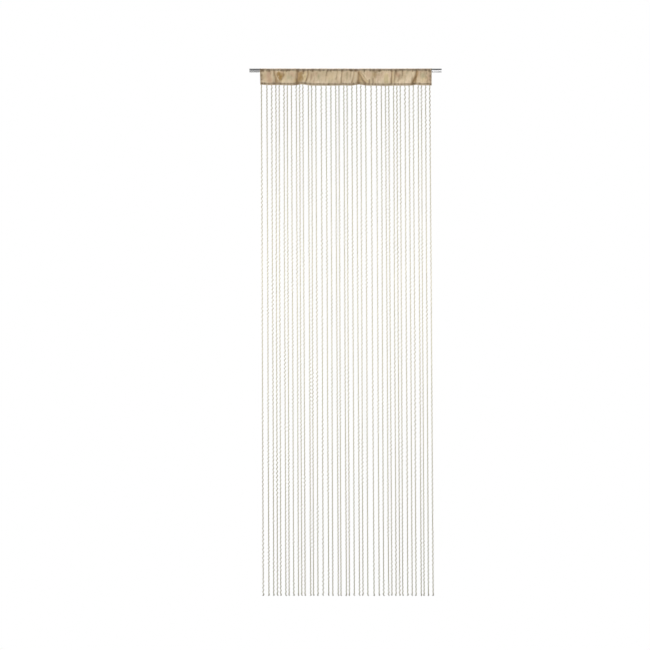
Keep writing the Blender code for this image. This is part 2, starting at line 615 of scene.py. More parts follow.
@dataclass
class Gathers:
    """The header's folds, as heights above a smooth cloth folded over the rod."""

    hem_drop: float = 0.0716
    freed_from: float = 0.04
    freed_to: float = 0.7
    folds: tuple[Fold, ...] = (
        Fold(-0.374, -0.38, 0.022, -0.003), Fold(-0.338, -0.327, 0.014, 0.0045),
        Fold(-0.29, -0.284, 0.026, -0.003), Fold(-0.23, -0.23, 0.015, 0.0055),
        Fold(-0.205, -0.206, 0.016, -0.0035), Fold(-0.178, -0.187, 0.014, 0.003),
        Fold(-0.121, -0.13, 0.03, -0.0025), Fold(-0.04, -0.043, 0.016, 0.0028),
        Fold(-0.017, -0.021, 0.012, 0.0022), Fold(0.01, 0.006, 0.02, -0.0025),
        Fold(0.043, 0.03, 0.014, 0.0032), Fold(0.062, 0.058, 0.014, 0.0045),
        Fold(0.072, 0.098, 0.015, 0.0035), Fold(0.15, 0.146, 0.03, -0.003),
        Fold(0.195, 0.196, 0.024, 0.0025), Fold(0.218, 0.218, 0.012, 0.0035),
        Fold(0.262, 0.256, 0.026, -0.0028), Fold(0.335, 0.316, 0.015, 0.0055),
        Fold(0.372, 0.37, 0.024, -0.003),
    )
    lifts: tuple[Lift, ...] = (
        Lift(-0.4, 0.022, 0.003), Lift(-0.33, 0.08, 0.0028), Lift(-0.205, 0.026, 0.0058),
        Lift(-0.012, 0.016, 0.0014), Lift(0.064, 0.022, 0.0055), Lift(0.187, 0.022, -0.0014),
        Lift(0.335, 0.018, 0.0034), Lift(0.385, 0.035, 0.0012),
    )

    def wave(self, x: Array, down: Array) -> Array:
        """Tells how far back the two layers lie together.

        Args:
            x: Places along the rod.
            down: The share of the drop to the hem.

        Returns:
            How far back they lie, in metres.
        """
        freed = ease((down - self.freed_from) / (self.freed_to - self.freed_from))
        total = sum(f.depth * bell(x - self.fold_x(f, down), f.half_width) for f in self.folds)
        return freed * total

    def fullness(self, x: Array, down: Array) -> Array:
        """Gives 0 where a fold draws the cloth in, and up to 1 between two folds."""
        pulls = [bell(x - self.fold_x(f, down), f.half_width) for f in self.folds if f.depth > 0]
        return 1.0 - np.max(pulls, axis=0)

    def hem_z(self, x: Array) -> Array:
        """Gives the height of the header's lower edge."""
        return -self.hem_drop + sum(r.lift * bell(x - r.x, r.half_width) for r in self.lifts)

    @staticmethod
    def fold_x(fold: Fold, down: Array) -> Array:
        """Tells where a fold is at a share of the drop to the hem."""
        return fold.top_x + (fold.hem_x - fold.top_x) * down


@dataclass(frozen=True)
class Crown:
    """The part of the cloth that lies over the rod, and the painted shade along its front where it turns up
    away from the lights, darker where the gathers pinch.

    Attributes:
        radius: How far the cloth lies from the rod's axis.
        puff: How much further it lies between two folds.
        line_from: The rise at which the painted shade starts.
        line_fade: How far up it takes to reach its full tone.
        line_shade: How dark the painted shade is.
        line_step: How far apart its darkest places are.
        lit_from: The rise above which the cloth lies open to the light.
        lit_fade: How far up the tones take to fade there.
    """

    radius: float = 0.0096
    puff: float = 0.0003
    line_from: float = -0.0024
    line_fade: float = 0.0035
    line_shade: float = 0.97
    line_step: float = 0.0205
    lit_from: float = 0.0052
    lit_fade: float = 0.0045

    def lit(self, rise: Array) -> Array:
        """Gives 1 on the very top of the crown, and 0 below it."""
        return ease((rise - self.lit_from) / self.lit_fade)

    def line(self, x: Array, uneven_rise: Array, strength: Array, lit: Array) -> Array:
        """Paints the shade along the crown's front, darker where the gathers pinch.

        Args:
            x: Places along the rod.
            uneven_rise: The way up the face, a little uneven along the rod.
            strength: How strong the layer's tones are.
            lit: How open to the light it lies.

        Returns:
            How dark it is at each place.
        """
        inside = ease((uneven_rise - self.line_from) / self.line_fade) * (1.0 - lit)
        pinched = 0.5 + 0.5 * drifting_wave(x, self.line_step, 2.4, 43.0)
        return self.line_shade * strength * inside * (0.6 + 0.4 * pinched)


@dataclass(frozen=True)
class Hems:
    """The lower hem with its roll and its puckered seam, and the side hems.

    Attributes:
        band: The height of the lower hem.
        roll_height: The height of the roll along its lower edge.
        roll_depth: How far the roll stands out.
        groove: How deep the seam sinks in.
        groove_half_width: Half the width of the groove that it makes.
        seam_drop: How far the seam lies below the top of the band.
        side: The width of a side hem.
        side_depth: How far a side hem stands out.
        pucker: The height of the puckers above the seam.
        pucker_step: How far apart the puckers are.
        dot_step: How far apart the pinches of painted shade are, along the lower hem and up the side hems.
        dot_place: How high up the band its pinches lie, as a share of its height.
        dot_height: Half the height of such a pinch.
        ladder_width: Half the width of the pinches up a side hem.
    """

    band: float = 0.0125
    roll_height: float = 0.0068
    roll_depth: float = 0.0014
    groove: float = 0.0009
    groove_half_width: float = 0.0016
    seam_drop: float = 0.002
    side: float = 0.007
    side_depth: float = 0.0005
    pucker: float = 0.0007
    pucker_step: float = 0.012
    dot_step: float = 0.02
    dot_place: float = 0.54
    dot_height: float = 0.0056
    ladder_width: float = 0.0034

    def relief(self, x: Array, above_hem: Array, from_side: Array) -> tuple[Array, Array, Array]:
        """Shapes the lower and side hems, and paints their shade.

        Args:
            x: Places along the rod.
            above_hem: The way up the face from the hem.
            from_side: The distance from the nearer side edge.

        Returns:
            The height, the painted shade of the seam and its pinches, and the share of painted shade over
            the hem band and the side hems at each place.
        """
        middle = 0.5 * self.roll_height
        rolled = np.sqrt(np.clip(1.0 - ((above_hem - middle) / middle) ** 2, 0.0, 1.0))
        groove = bell(above_hem - self.band + self.seam_drop, self.groove_half_width)
        folded = ease((self.side - from_side) / 0.0015)
        seam = bell(from_side - self.side, self.groove_half_width)
        height = self.roll_depth * rolled - self.groove * groove
        height = height + self.side_depth * folded - 0.0003 * seam
        # Painted shade in the seam's groove, in pinches along the hem and up the side seams.
        uneven = 0.68 + 0.18 * np.sin(61.0 * x) + 0.14 * np.sin(143.0 * x + 1.0)
        pinched = np.clip(drifting_wave(x, self.dot_step, 2.6, 47.0), 0.0, 1.0)
        pinch_shade = uneven * pinched * bell(above_hem - self.dot_place * self.band, self.dot_height)
        ticks = np.clip(np.sin(above_hem * FULL_TURN / self.dot_step), 0.0, 1.0)
        side_pinch_shade = (0.34 + 0.62 * ticks) * bell(from_side - self.side, self.ladder_width)
        shade = 1.0 - (1.0 - 0.25 * groove) * (1.0 - 0.95 * pinch_shade) * (1.0 - side_pinch_shade)
        # Painted shade over the rolled band, deepest near the lower edge, and over the side hems.
        band = ease((self.band - above_hem) / 0.003)
        edge = ease((0.5 * self.band - above_hem) / 0.004)
        return height, shade, np.maximum(0.26 * band + 0.16 * edge, 0.3 * folded)

    def puckers(self, x: Array, above_hem: Array) -> Array:
        """Gives the height of the puckers that the seam draws up."""
        return self.pucker * drifting_wave(x, self.pucker_step, 1.7, 47.0) * bell(
            above_hem - self.band - 0.004, 0.006)


@dataclass
class Header:
    """The gathered satin header: a front and a back layer in one cloth, folded over the rod.

    A rise is a distance up the face of a layer from the level of the rod's axis: it is the height
    on the skirt, and the way round the rod on the crown.

    Attributes:
        gathers, crown, hems: Its parts.
        left, right: Its two ends along the rod.
        cloth: The cloth's thickness.
        hem_half_gap: Half the gap between the layers at the hem.
        puff: How far each layer bulges midway down, between two folds.
        taper: How soon the layers close in below the crown.
        flat_width, flat_height: The size of the cloth before it was sewn. Not used.
        columns, skirt_rows, band_rows, crown_rows: How finely the mesh is divided.
        crease_margin: How far beside a crease the columns still run closer together.
        wrinkle: The height of the longest wrinkles.
        wrinkle_lengths: The lengths of the wrinkles.
        back_strength: How strong creases and tones are on the back layer.
        notch_depth: How deep the darkest nick is.
        notch_fade: How far up a nick takes to reach its full depth.
        crown_sink, skirt_sink: How deep creases may sink on the crown, and how much more below it.
        sink_fade: How far down that takes to grow.
        sway, wobble: What keeps creases and the edges of patches from running straight.
        left_draw, left_draw_width: How far the left edge leans in at the hem, and over what width.
        least_gap: The least distance from the middle of the gap to a layer.
        fine_creases, fine_notches: How many small ones are drawn at random.
        seed: The seed for them and for the wrinkles.
        creases, patches, notches: The ones that stand out.
    """

    MAP = "cloth_place"

    gathers: Gathers = field(default_factory=Gathers)
    crown: Crown = Crown()
    hems: Hems = Hems()
    left: float = -0.4055
    right: float = 0.408
    cloth: float = 0.0005
    hem_half_gap: float = 0.0025
    puff: float = 0.003
    taper: float = 0.8
    flat_width: float = 0.9
    flat_height: float = 0.2
    columns: int = 420
    crease_margin: float = 0.006
    skirt_rows: int = 30
    band_rows: int = 13
    crown_rows: int = 16
    wrinkle: float = 0.00075
    wrinkle_lengths: tuple[float, ...] = (0.041, 0.026, 0.017, 0.0115)
    back_strength: float = 0.55
    notch_depth: float = 0.0014
    notch_fade: float = 0.006
    crown_sink: float = 0.0003
    skirt_sink: float = 0.01
    sink_fade: float = 0.02
    sway: Waver = Waver(0.0008, 105.0, 260.0, 0.4)
    wobble: Waver = Waver(0.0009, 240.0, 530.0, 0.5)
    left_draw: float = 0.0022
    left_draw_width: float = 0.016
    least_gap: float = 0.0021
    fine_creases: int = 140
    fine_notches: int = 90
    seed: int = 7
    creases: tuple[Crease, ...] = (
        Crease(((-0.339, 0.002), (-0.3352, -0.02), (-0.3305, -0.046), (-0.328, -0.06)),
               0.0032, 0.0042, 0.0028, 0.0014, 0.68, 0.62),
        Crease(((-0.3215, -0.044), (-0.3195, -0.062)), 0.004, 0.005, 0.0014, 0.0006, 0.4, 0.3),
        Crease(((-0.328, -0.014), (-0.3195, -0.03), (-0.309, -0.048)),
               0.0022, 0.0022, 0.0012, 0.0008, 0.34, 0.3),
        Crease(((-0.2895, -0.016), (-0.296, -0.03), (-0.306, -0.048)),
               0.0022, 0.0022, 0.0012, 0.0, 0.3, 0.3),
        Crease(((-0.23, 0.01), (-0.2296, -0.03), (-0.231, -0.068)),
               0.0042, 0.0085, 0.0036, 0.0018, 0.72, 0.8),
        Crease(((-0.2005, -0.002), (-0.2015, -0.016)), 0.0035, 0.002, 0.0012, 0.0, 0.55, 0.4),
        Crease(((-0.1776, 0.002), (-0.179, -0.02), (-0.187, -0.052)),
               0.0038, 0.0034, 0.0022, 0.0014, 0.6, 0.5),
        Crease(((-0.089, -0.004), (-0.09, -0.026)), 0.0035, 0.0028, 0.0016, 0.0006, 0.62, 0.1),
        Crease(((-0.039, 0.0), (-0.0426, -0.04)), 0.0034, 0.0034, 0.0014, 0.0006, 0.46, 0.1),
        Crease(((-0.0166, 0.006), (-0.019, -0.03), (-0.0213, -0.066)),
               0.0034, 0.0034, 0.002, 0.0012, 0.6, 0.25),
        Crease(((0.009, 0.0), (0.007, -0.046)), 0.0035, 0.0035, 0.0011, 0.0006, 0.26, 0.1),
        Crease(((0.0426, 0.002), (0.036, -0.03), (0.0284, -0.066)),
               0.0036, 0.0036, 0.002, 0.0012, 0.48, 0.25),
        Crease(((0.0616, -0.004), (0.06, -0.03), (0.0592, -0.067)),
               0.003, 0.0074, 0.003, -0.0004, 0.54, 0.72),
        Crease(((0.063, -0.008), (0.0734, -0.028), (0.0829, -0.046), (0.096, -0.062)),
               0.0032, 0.0058, 0.0032, 0.0018, 0.48, 0.55),
        Crease(((0.074, -0.006), (0.086, -0.024), (0.095, -0.04)), 0.003, 0.003, 0.001, 0.0006, 0.26, 0.2),
        Crease(((0.085, -0.004), (0.094, -0.018)), 0.0026, 0.0026, 0.0008, 0.0004, 0.2, 0.15),
        Crease(((0.1127, -0.042), (0.1115, -0.062)), 0.0034, 0.0036, 0.0018, 0.0008, 0.72, 0.25),
        Crease(((0.131, -0.036), (0.1295, -0.06)), 0.0038, 0.0042, 0.0018, 0.0008, 0.7, 0.3),
        Crease(((0.1586, -0.001), (0.152, -0.02), (0.1444, -0.04)), 0.0045, 0.004, -0.0014, 0.0, 0.0, 0.0),
        Crease(((0.188, -0.014), (0.1875, -0.06)), 0.0024, 0.0024, 0.0006, 0.0004, 0.28, 0.1),
        Crease(((0.1985, -0.018), (0.198, -0.064)), 0.0024, 0.0024, 0.0006, 0.0004, 0.28, 0.1),
        Crease(((0.2178, 0.008), (0.2178, -0.03), (0.217, -0.068)),
               0.0032, 0.0032, 0.0024, 0.0018, 0.62, 0.4),
        Crease(((0.2344, -0.004), (0.2325, -0.03), (0.231, -0.054)),
               0.0036, 0.0034, 0.0016, 0.0008, 0.54, 0.35),
        Crease(((0.252, -0.022), (0.2505, -0.05)), 0.0036, 0.0036, 0.0011, 0.0005, 0.32, 0.2),
        Crease(((0.2705, 0.004), (0.2695, -0.024)), 0.0036, 0.003, 0.0014, 0.0006, 0.58, 0.2),
        Crease(((0.3348, 0.008), (0.3338, -0.02), (0.323, -0.042), (0.3125, -0.066)),
               0.004, 0.0055, 0.003, 0.0014, 0.66, 0.85),
        Crease(((0.333, -0.024), (0.331, -0.042), (0.3285, -0.062)),
               0.0034, 0.0036, 0.0018, 0.001, 0.5, 0.55),
        Crease(((0.383, -0.026), (0.389, -0.04), (0.385, -0.058)), 0.003, 0.0034, 0.001, 0.0004, 0.3, 0.25),
    )
    # Patches of painted sheen, painted highlights and painted shade. The first darkens the whole lower part
    # with painted shade, and the last few paint shade along the hem.
    patches: tuple[Patch, ...] = (
        Patch(0.0, -0.066, 0.6, 0.03, Tone.ROLLED_SHADE, 0.2),
        Patch(-0.397, -0.045, 0.014, 0.024, Tone.CREASE, 0.1, 1.3),
        Patch(-0.366, -0.042, 0.024, 0.02, Tone.WARM_FOLD_SHADE, 0.12, 1.3),
        Patch(-0.383, -0.026, 0.006, 0.02, Tone.STRAW_HIGHLIGHT, 0.2),
        Patch(-0.364, -0.02, 0.011, 0.018, Tone.ROSE_SHEEN, 0.95, 1.3, 0.0004),
        Patch(-0.36, -0.046, 0.013, 0.014, Tone.ROSE_SHEEN, 0.95, 1.2, 0.0003),
        Patch(-0.36, -0.046, 0.01, 0.01, Tone.WARM_FOLD_SHADE, 0.22),
        Patch(-0.3165, -0.0155, 0.0112, 0.0115, Tone.WARM_FOLD_SHADE, 0.88, 2.4, 0.0016, 0.1),
        Patch(-0.2985, -0.0185, 0.0092, 0.0105, Tone.WARM_FOLD_SHADE, 0.58, 2.2, 0.001, -0.1),
        Patch(-0.308, -0.033, 0.01, 0.014, Tone.WARM_FOLD_SHADE, 0.97, 2.2, 0.0016, 0.12),
        Patch(-0.3, -0.049, 0.016, 0.0075, Tone.STRAW_HIGHLIGHT, 0.45),
        Patch(-0.286, -0.022, 0.0045, 0.02, Tone.STRAW_HIGHLIGHT, 0.55, 1.0, -0.0006),
        Patch(-0.252, -0.02, 0.015, 0.013, Tone.ROSE_SHEEN, 0.7, 1.3),
        Patch(-0.264, -0.034, 0.014, 0.013, Tone.MOSS_SHEEN, 0.8, 1.3),
        Patch(-0.241, -0.048, 0.006, 0.012, Tone.STRAW_HIGHLIGHT, 0.5, 1.0, -0.0006),
        Patch(-0.218, -0.023, 0.006, 0.02, Tone.ROSE_SHEEN, 0.9, 1.6),
        Patch(-0.2105, -0.016, 0.0092, 0.012, Tone.WARM_FOLD_SHADE, 0.7, 2.4, 0.0014),
        Patch(-0.2105, -0.038, 0.0112, 0.0155, Tone.WARM_FOLD_SHADE, 0.92, 2.2, 0.0014),
        Patch(-0.208, -0.042, 0.008, 0.011, Tone.MOSS_SHEEN, 0.16, 1.3),
        Patch(-0.193, -0.03, 0.0066, 0.024, Tone.STRAW_HIGHLIGHT, 0.85, 1.8, -0.0008, 0.1),
        Patch(-0.146, -0.015, 0.016, 0.009, Tone.ROSE_SHEEN, 0.4),
        Patch(-0.127, -0.029, 0.0075, 0.016, Tone.MOSS_SHEEN, 0.6, 1.3, 0.0005, 0.35),
        Patch(-0.129, -0.033, 0.005, 0.012, Tone.WARM_FOLD_SHADE, 0.14, 1.0, 0.0, 0.35),
        Patch(-0.07, -0.032, 0.018, 0.016, Tone.STRAW_HIGHLIGHT, 0.25),
        Patch(0.076, -0.049, 0.006, 0.011, Tone.STRAW_HIGHLIGHT, 0.6, 1.3, -0.0005, -0.5),
        Patch(0.066, -0.05, 0.004, 0.014, Tone.STRAW_HIGHLIGHT, 0.4, 1.3, -0.0004, -0.2),
        Patch(0.1, -0.051, 0.0075, 0.006, Tone.STRAW_HIGHLIGHT, 0.8, 1.3, -0.0008),
        Patch(0.142, -0.004, 0.019, 0.0062, Tone.CREASE, 0.46, 2.0, 0.0006),
        Patch(0.138, -0.018, 0.0115, 0.013, Tone.WARM_FOLD_SHADE, 0.5, 1.5, 0.0006, 0.2),
        Patch(0.15, -0.034, 0.016, 0.014, Tone.ROSE_SHEEN, 0.35),
        Patch(0.193, -0.04, 0.012, 0.026, Tone.STRAW_HIGHLIGHT, 0.92, 1.8, 0.0004),
        Patch(0.195, -0.043, 0.01, 0.023, Tone.MOSS_SHEEN, 0.5, 1.5),
        Patch(0.208, -0.02, 0.006, 0.016, Tone.ROSE_SHEEN, 0.6),
        Patch(0.2252, -0.03, 0.004, 0.03, Tone.STRAW_HIGHLIGHT, 0.35, 1.5, -0.0005),
        Patch(0.2395, -0.001, 0.0064, 0.0085, Tone.CREASE, 0.46, 1.8, 0.0004),
        Patch(0.248, -0.019, 0.0105, 0.013, Tone.ROSE_SHEEN, 0.9, 1.4, 0.0004, -0.2),
        Patch(0.244, -0.016, 0.004, 0.01, Tone.WARM_FOLD_SHADE, 0.25, 1.3, 0.0, -0.3),
        Patch(0.3215, -0.049, 0.004, 0.006, Tone.STRAW_HIGHLIGHT, 0.6, 1.3, -0.0006, 0.3),
        Patch(0.344, -0.018, 0.006, 0.018, Tone.ROSE_SHEEN, 0.6),
        Patch(0.366, -0.024, 0.0105, 0.015, Tone.MOSS_SHEEN, 0.95, 1.5, 0.0004),
        Patch(0.374, -0.044, 0.015, 0.015, Tone.STRAW_HIGHLIGHT, 0.6, 1.2, 0.0003),
        Patch(0.38, -0.05, 0.009, 0.008, Tone.ROSE_SHEEN, 0.4, 1.2, 0.0003),
        Patch(0.39, -0.034, 0.017, 0.03, Tone.CREASE, 0.2, 1.6),
        Patch(0.399, -0.035, 0.008, 0.03, Tone.ROSE_SHEEN, 0.6, 1.6),
        Patch(-0.389, -0.063, 0.013, 0.006, Tone.CREASE, 0.35, 1.6),
        Patch(-0.343, -0.06, 0.011, 0.006, Tone.CREASE, 0.32, 1.6),
        Patch(-0.306, -0.062, 0.012, 0.005, Tone.CREASE, 0.28, 1.6),
        Patch(-0.233, -0.062, 0.015, 0.007, Tone.CREASE, 0.3, 1.6),
        Patch(-0.17, -0.058, 0.014, 0.005, Tone.CREASE, 0.16, 1.3),
        Patch(0.062, -0.06, 0.012, 0.006, Tone.CREASE, 0.22, 1.6),
        Patch(0.319, -0.062, 0.012, 0.006, Tone.CREASE, 0.3, 1.6),
        Patch(0.388, -0.064, 0.013, 0.006, Tone.CREASE, 0.25, 1.6),
    )
    notches: tuple[Notch, ...] = (
        Notch(-0.3905, 0.006, 0.01, 0.75), Notch(-0.361, 0.0055, 0.0105, 0.75),
        Notch(-0.338, 0.004, 0.008, 0.55), Notch(-0.318, 0.003, 0.005, 0.25),
        Notch(-0.2935, 0.0045, 0.0085, 0.45), Notch(-0.23, 0.0055, 0.011, 0.6),
        Notch(-0.201, 0.006, 0.01, 0.6), Notch(-0.177, 0.0045, 0.008, 0.45),
        Notch(-0.151, 0.0035, 0.005, 0.2), Notch(-0.121, 0.0065, 0.0085, 0.6),
        Notch(-0.087, 0.0045, 0.007, 0.35), Notch(-0.062, 0.003, 0.005, 0.2),
        Notch(-0.0385, 0.004, 0.0065, 0.35), Notch(-0.015, 0.006, 0.0085, 0.6),
        Notch(0.0095, 0.0035, 0.005, 0.25), Notch(0.047, 0.007, 0.0085, 0.6),
        Notch(0.068, 0.003, 0.0045, 0.2), Notch(0.096, 0.0035, 0.005, 0.22),
        Notch(0.127, 0.005, 0.007, 0.4), Notch(0.156, 0.006, 0.007, 0.45),
        Notch(0.183, 0.0035, 0.006, 0.35), Notch(0.204, 0.0035, 0.006, 0.35),
        Notch(0.22, 0.005, 0.009, 0.6), Notch(0.24, 0.0055, 0.01, 0.6),
        Notch(0.256, 0.0035, 0.007, 0.4), Notch(0.27, 0.0045, 0.0095, 0.5),
        Notch(0.302, 0.0035, 0.0055, 0.25), Notch(0.3345, 0.005, 0.011, 0.6),
        Notch(0.3575, 0.003, 0.0055, 0.25), Notch(0.379, 0.0045, 0.008, 0.4),
        Notch(0.3965, 0.0055, 0.0085, 0.45),
    )

    def build(self, finish: bpy.types.Material) -> bpy.types.Object:
        """Makes the cloth.

        Args:
            finish: The satin.

        Returns:
            The header, which stands for its solid.
        """
        x, side, down, angle = self.grid()
        points, shades = self.surface(x, side, down, angle)
        rows, columns = x.shape
        corner = (np.arange(rows - 1)[:, None] * columns + np.arange(columns - 1)).ravel()
        faces = np.stack([corner, corner + 1, corner + columns + 1, corner + columns], axis=1)
        made = mesh_object("header_cloth", points.reshape(-1, 3), faces.tolist(), [finish])
        for name, values in shades.items():
            set_attribute(made, name, values)
        place = made.data.attributes.new(self.MAP, "FLOAT_VECTOR", "POINT")
        along = np.cumsum(np.linalg.norm(np.diff(points, axis=0, prepend=points[:1]), axis=2), axis=0)
        flat = np.stack([x, along, np.zeros_like(x)], axis=-1)
        place.data.foreach_set("vector", flat.astype(np.float32).ravel())
        thickness = made.modifiers.new("thickness", "SOLIDIFY")
        thickness.thickness = self.cloth
        thickness.offset = 0.0
        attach(made, "root")
        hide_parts("header")
        return made

    def grid(self) -> tuple[Array, Array, Array, Array]:
        """Lays out the cloth's rows, from the front hem over the rod to the back hem.

        Returns:
            The place along the rod, the layer (-1 front, 1 back), the share of the drop to the hem,
            and the angle round the crown, each with a row for each line along the rod.
        """
        share_of_band = self.hems.band / self.gathers.hem_drop
        band = np.linspace(1.0, 1.0 - share_of_band, self.band_rows, endpoint=False)
        skirt = np.linspace(1.0 - share_of_band, 0.0, self.skirt_rows)
        front = np.concatenate([band, skirt])
        turn = np.linspace(0.0, math.pi, self.crown_rows + 2)[1:-1]
        down = np.concatenate([front, np.zeros_like(turn), front[::-1]])
        angle = np.concatenate([np.zeros_like(front), turn, np.full_like(front, math.pi)])
        side = np.where(angle < 0.5 * math.pi, Side.FRONT.value, Side.BACK.value)
        x = self.columns_x()
        shape = (len(down), len(x))
        return (np.broadcast_to(x, shape), np.broadcast_to(side[:, None], shape),
                np.broadcast_to(down[:, None], shape), np.broadcast_to(angle[:, None], shape))

    def columns_x(self) -> Array:
        """Spaces the columns along the rod, closer together where creases run.

        Returns:
            The columns' places.
        """
        x = np.linspace(self.left, self.right, 4 * self.columns)
        density = np.ones_like(x)
        for crease in self.creases:
            xs = [place[0] for place in crease.path]
            density += 1.4 * window(x, min(xs) - self.crease_margin, max(xs) + self.crease_margin, 0.004)
        return spaced(x, density, self.columns + 1)

    def surface(self, x: Array, side: Array, down: Array, angle: Array) -> tuple[Array, dict[str, Array]]:
        """Works out the cloth's middle surface and its colour numbers.

        Args:
            x: Places along the rod.
            side: The layer of each place, -1 in front and 1 behind.
            down: The share of the drop to the hem.
            angle: The angle round the crown, 0 at its front and pi at its back.

        Returns:
            The points, and the numbers for the tones by name.
        """
        gathers = self.gathers
        fullness = gathers.fullness(x, down)
        crown = self.crown.radius + self.crown.puff * gathers.fullness(x, 0.0 * down)
        tapered = ease(down) ** self.taper
        puffed = self.puff * fullness * np.sin(math.pi * down) ** 2
        spread = crown * (1.0 - tapered) + self.hem_half_gap * tapered + puffed
        around = np.minimum(angle, math.pi - angle)
        rise = np.where(down > 0, gathers.hem_z(x) * down, around * crown)
        above_hem = rise - gathers.hem_z(x)
        relief, shades = self.relief(x, side, rise, above_hem)
        out = np.maximum(spread + relief, self.least_gap)
        on_crown = down <= 0
        y = np.where(on_crown, -np.cos(angle) * out, side * out + gathers.wave(x, down))
        z = np.where(on_crown, np.sin(angle) * out, gathers.hem_z(x) * down)
        drawn_in = self.left_draw * np.maximum(down, 0.0) * bell(x - self.left, self.left_draw_width)
        return np.stack([x + drawn_in, y, z], axis=-1), shades

    def relief(self, x: Array, side: Array, rise: Array,
               above_hem: Array) -> tuple[Array, dict[str, Array]]:
        """Adds up how far creases, patches, wrinkles and hems stand out of the smooth gathers, and the
        painted sheen, highlights and shade that they lay.

        Args:
            x: Places along the rod.
            side: The layer of each place, -1 in front and 1 behind.
            rise: The way up the face from the level of the rod's axis.
            above_hem: The way up the face from the hem.

        Returns:
            The height at each place, and the shares of the painted tones by name.
        """
        height = np.zeros_like(rise)
        # The share of the cloth that each painted tone leaves bare.
        bare = {tone: np.ones_like(rise) for tone in Tone}
        strength = np.where(side < 0, 1.0, self.back_strength)
        swayed_x = x + self.sway.shift(rise, x)
        uneven_x = x + self.wobble.shift(rise, x)
        uneven_rise = rise + self.wobble.size * (np.sin(230.0 * x + 1.1) + 0.5 * np.sin(560.0 * x))
        lit = self.crown.lit(rise)
        fine_creases, fine_notches = self.fine_folds()
        for crease in (*self.creases, *fine_creases):
            relief, shade, glow = self.crease_relief(crease, swayed_x, rise)
            height += strength * relief
            # Painted shade along each crease, and warm painted shade of light bounced inside it.
            bare[Tone.CREASE] *= 1.0 - strength * shade
            bare[Tone.WARM_FOLD_SHADE] *= 1.0 - strength * glow
        for patch in self.patches:
            inside = strength * self.patch_share(patch, uneven_x, uneven_rise)
            # Each patch lays painted sheen, a painted highlight or painted shade.
            height -= patch.dip * inside
            bare[patch.tone] *= 1.0 - patch.share * inside
        for notch in (*self.notches, *fine_notches):
            reach = ease((uneven_rise + notch.reach) / self.notch_fade)
            pull = bell(swayed_x - notch.x, notch.half_width) * reach
            height -= self.notch_depth * notch.shade * pull
            # Painted shade in the nick, fainter on the lit top of the crown.
            bare[Tone.CREASE] *= 1.0 - 1.2 * notch.shade * pull * (1.0 - 0.7 * lit)
        height += self.wrinkles(x, side, rise, above_hem)
        from_side = np.minimum(x - self.left, self.right - x)
        hem_height, hem_shade, rolled = self.hems.relief(x, above_hem, from_side)
        # Painted shade on the hems and along the crown's front.
        bare[Tone.CREASE] *= 1.0 - hem_shade
        bare[Tone.ROLLED_SHADE] *= 1.0 - rolled
        bare[Tone.ROLLED_SHADE] *= 1.0 - self.crown.line(x, uneven_rise, strength, lit)
        shades = {tone.value: 1.0 - share for tone, share in bare.items()}
        deepest = -self.crown_sink - self.skirt_sink * ease(-rise / self.sink_fade)
        return np.maximum(height, deepest) + hem_height, shades

    def fine_folds(self) -> tuple[list[Crease], list[Notch]]:
        """Draws up the many faint creases and nicks that fine gathering leaves between the big ones.

        Returns:
            The creases and the nicks.
        """
        draw = random.Random(self.seed + 1).uniform
        creases = []
        for _ in range(self.fine_creases):
            x, top = draw(self.left, self.right), draw(-0.05, 0.004)
            foot = max(top - draw(0.008, 0.03), -0.064)
            path = ((x, top), (x + draw(-0.1, 0.1) * (top - foot), foot))
            half_width = draw(0.0016, 0.0034)
            shade, glow = draw(0.05, 0.34), draw(0.0, 0.14)
            creases.append(Crease(path, half_width, half_width, 0.0005, 0.0003, shade, glow))
        return creases, [
            Notch(draw(self.left, self.right), draw(0.002, 0.0042), draw(0.003, 0.01), draw(0.15, 0.8))
            for _ in range(self.fine_notches)
        ]

    @staticmethod
    def crease_relief(crease: Crease, x: Array, rise: Array) -> tuple[Array, Array, Array]:
        """Shapes one crease and paints its shade.

        Args:
            crease: The crease.
            x: Places along the rod.
            rise: The way up the face.

        Returns:
            The height, the painted shade and the painted warm glow of bounced light at each place.
        """
        places = sorted(crease.path, key=lambda place: place[1])
        xs = [place[0] for place in places]
        rises = [place[1] for place in places]
        reach = rises[-1] - rises[0]
        slope = (xs[-1] - xs[0]) / reach
        across = (x - np.interp(rise, rises, xs)) / math.hypot(1.0, slope)
        beyond = 0.25 * reach
        length = window(rise, rises[0] - beyond, rises[-1] + beyond, 1.6 * beyond)
        fall = np.clip((rises[-1] - rise) / reach, 0.0, 1.0)
        half_width = crease.half_width + (crease.foot - crease.half_width) * fall
        lip = bell(across - 2.1 * half_width, 1.2 * half_width)
        height = length * (crease.lip * lip - crease.depth * bell(across, half_width))
        line = 0.58 * bell(across, 0.9 * half_width) + 0.56 * bell(across, 0.4 * half_width)
        shade = np.minimum(length * crease.shade * line, 0.86)
        return height, shade, length * crease.glow * bell(across - 0.5 * half_width, 1.7 * half_width)

    @staticmethod
    def patch_share(patch: Patch, x: Array, rise: Array) -> Array:
        """Tells how far inside a patch each place lies.

        Args:
            patch: The patch.
            x: Places along the rod.
            rise: The way up the face.

        Returns:
            1 well inside it and 0 outside it.
        """
        up = rise - patch.rise
        across = (x - patch.x - patch.lean * up) / patch.half_width
        return np.exp(-((across ** 2 + (up / patch.half_height) ** 2) ** patch.crisp))

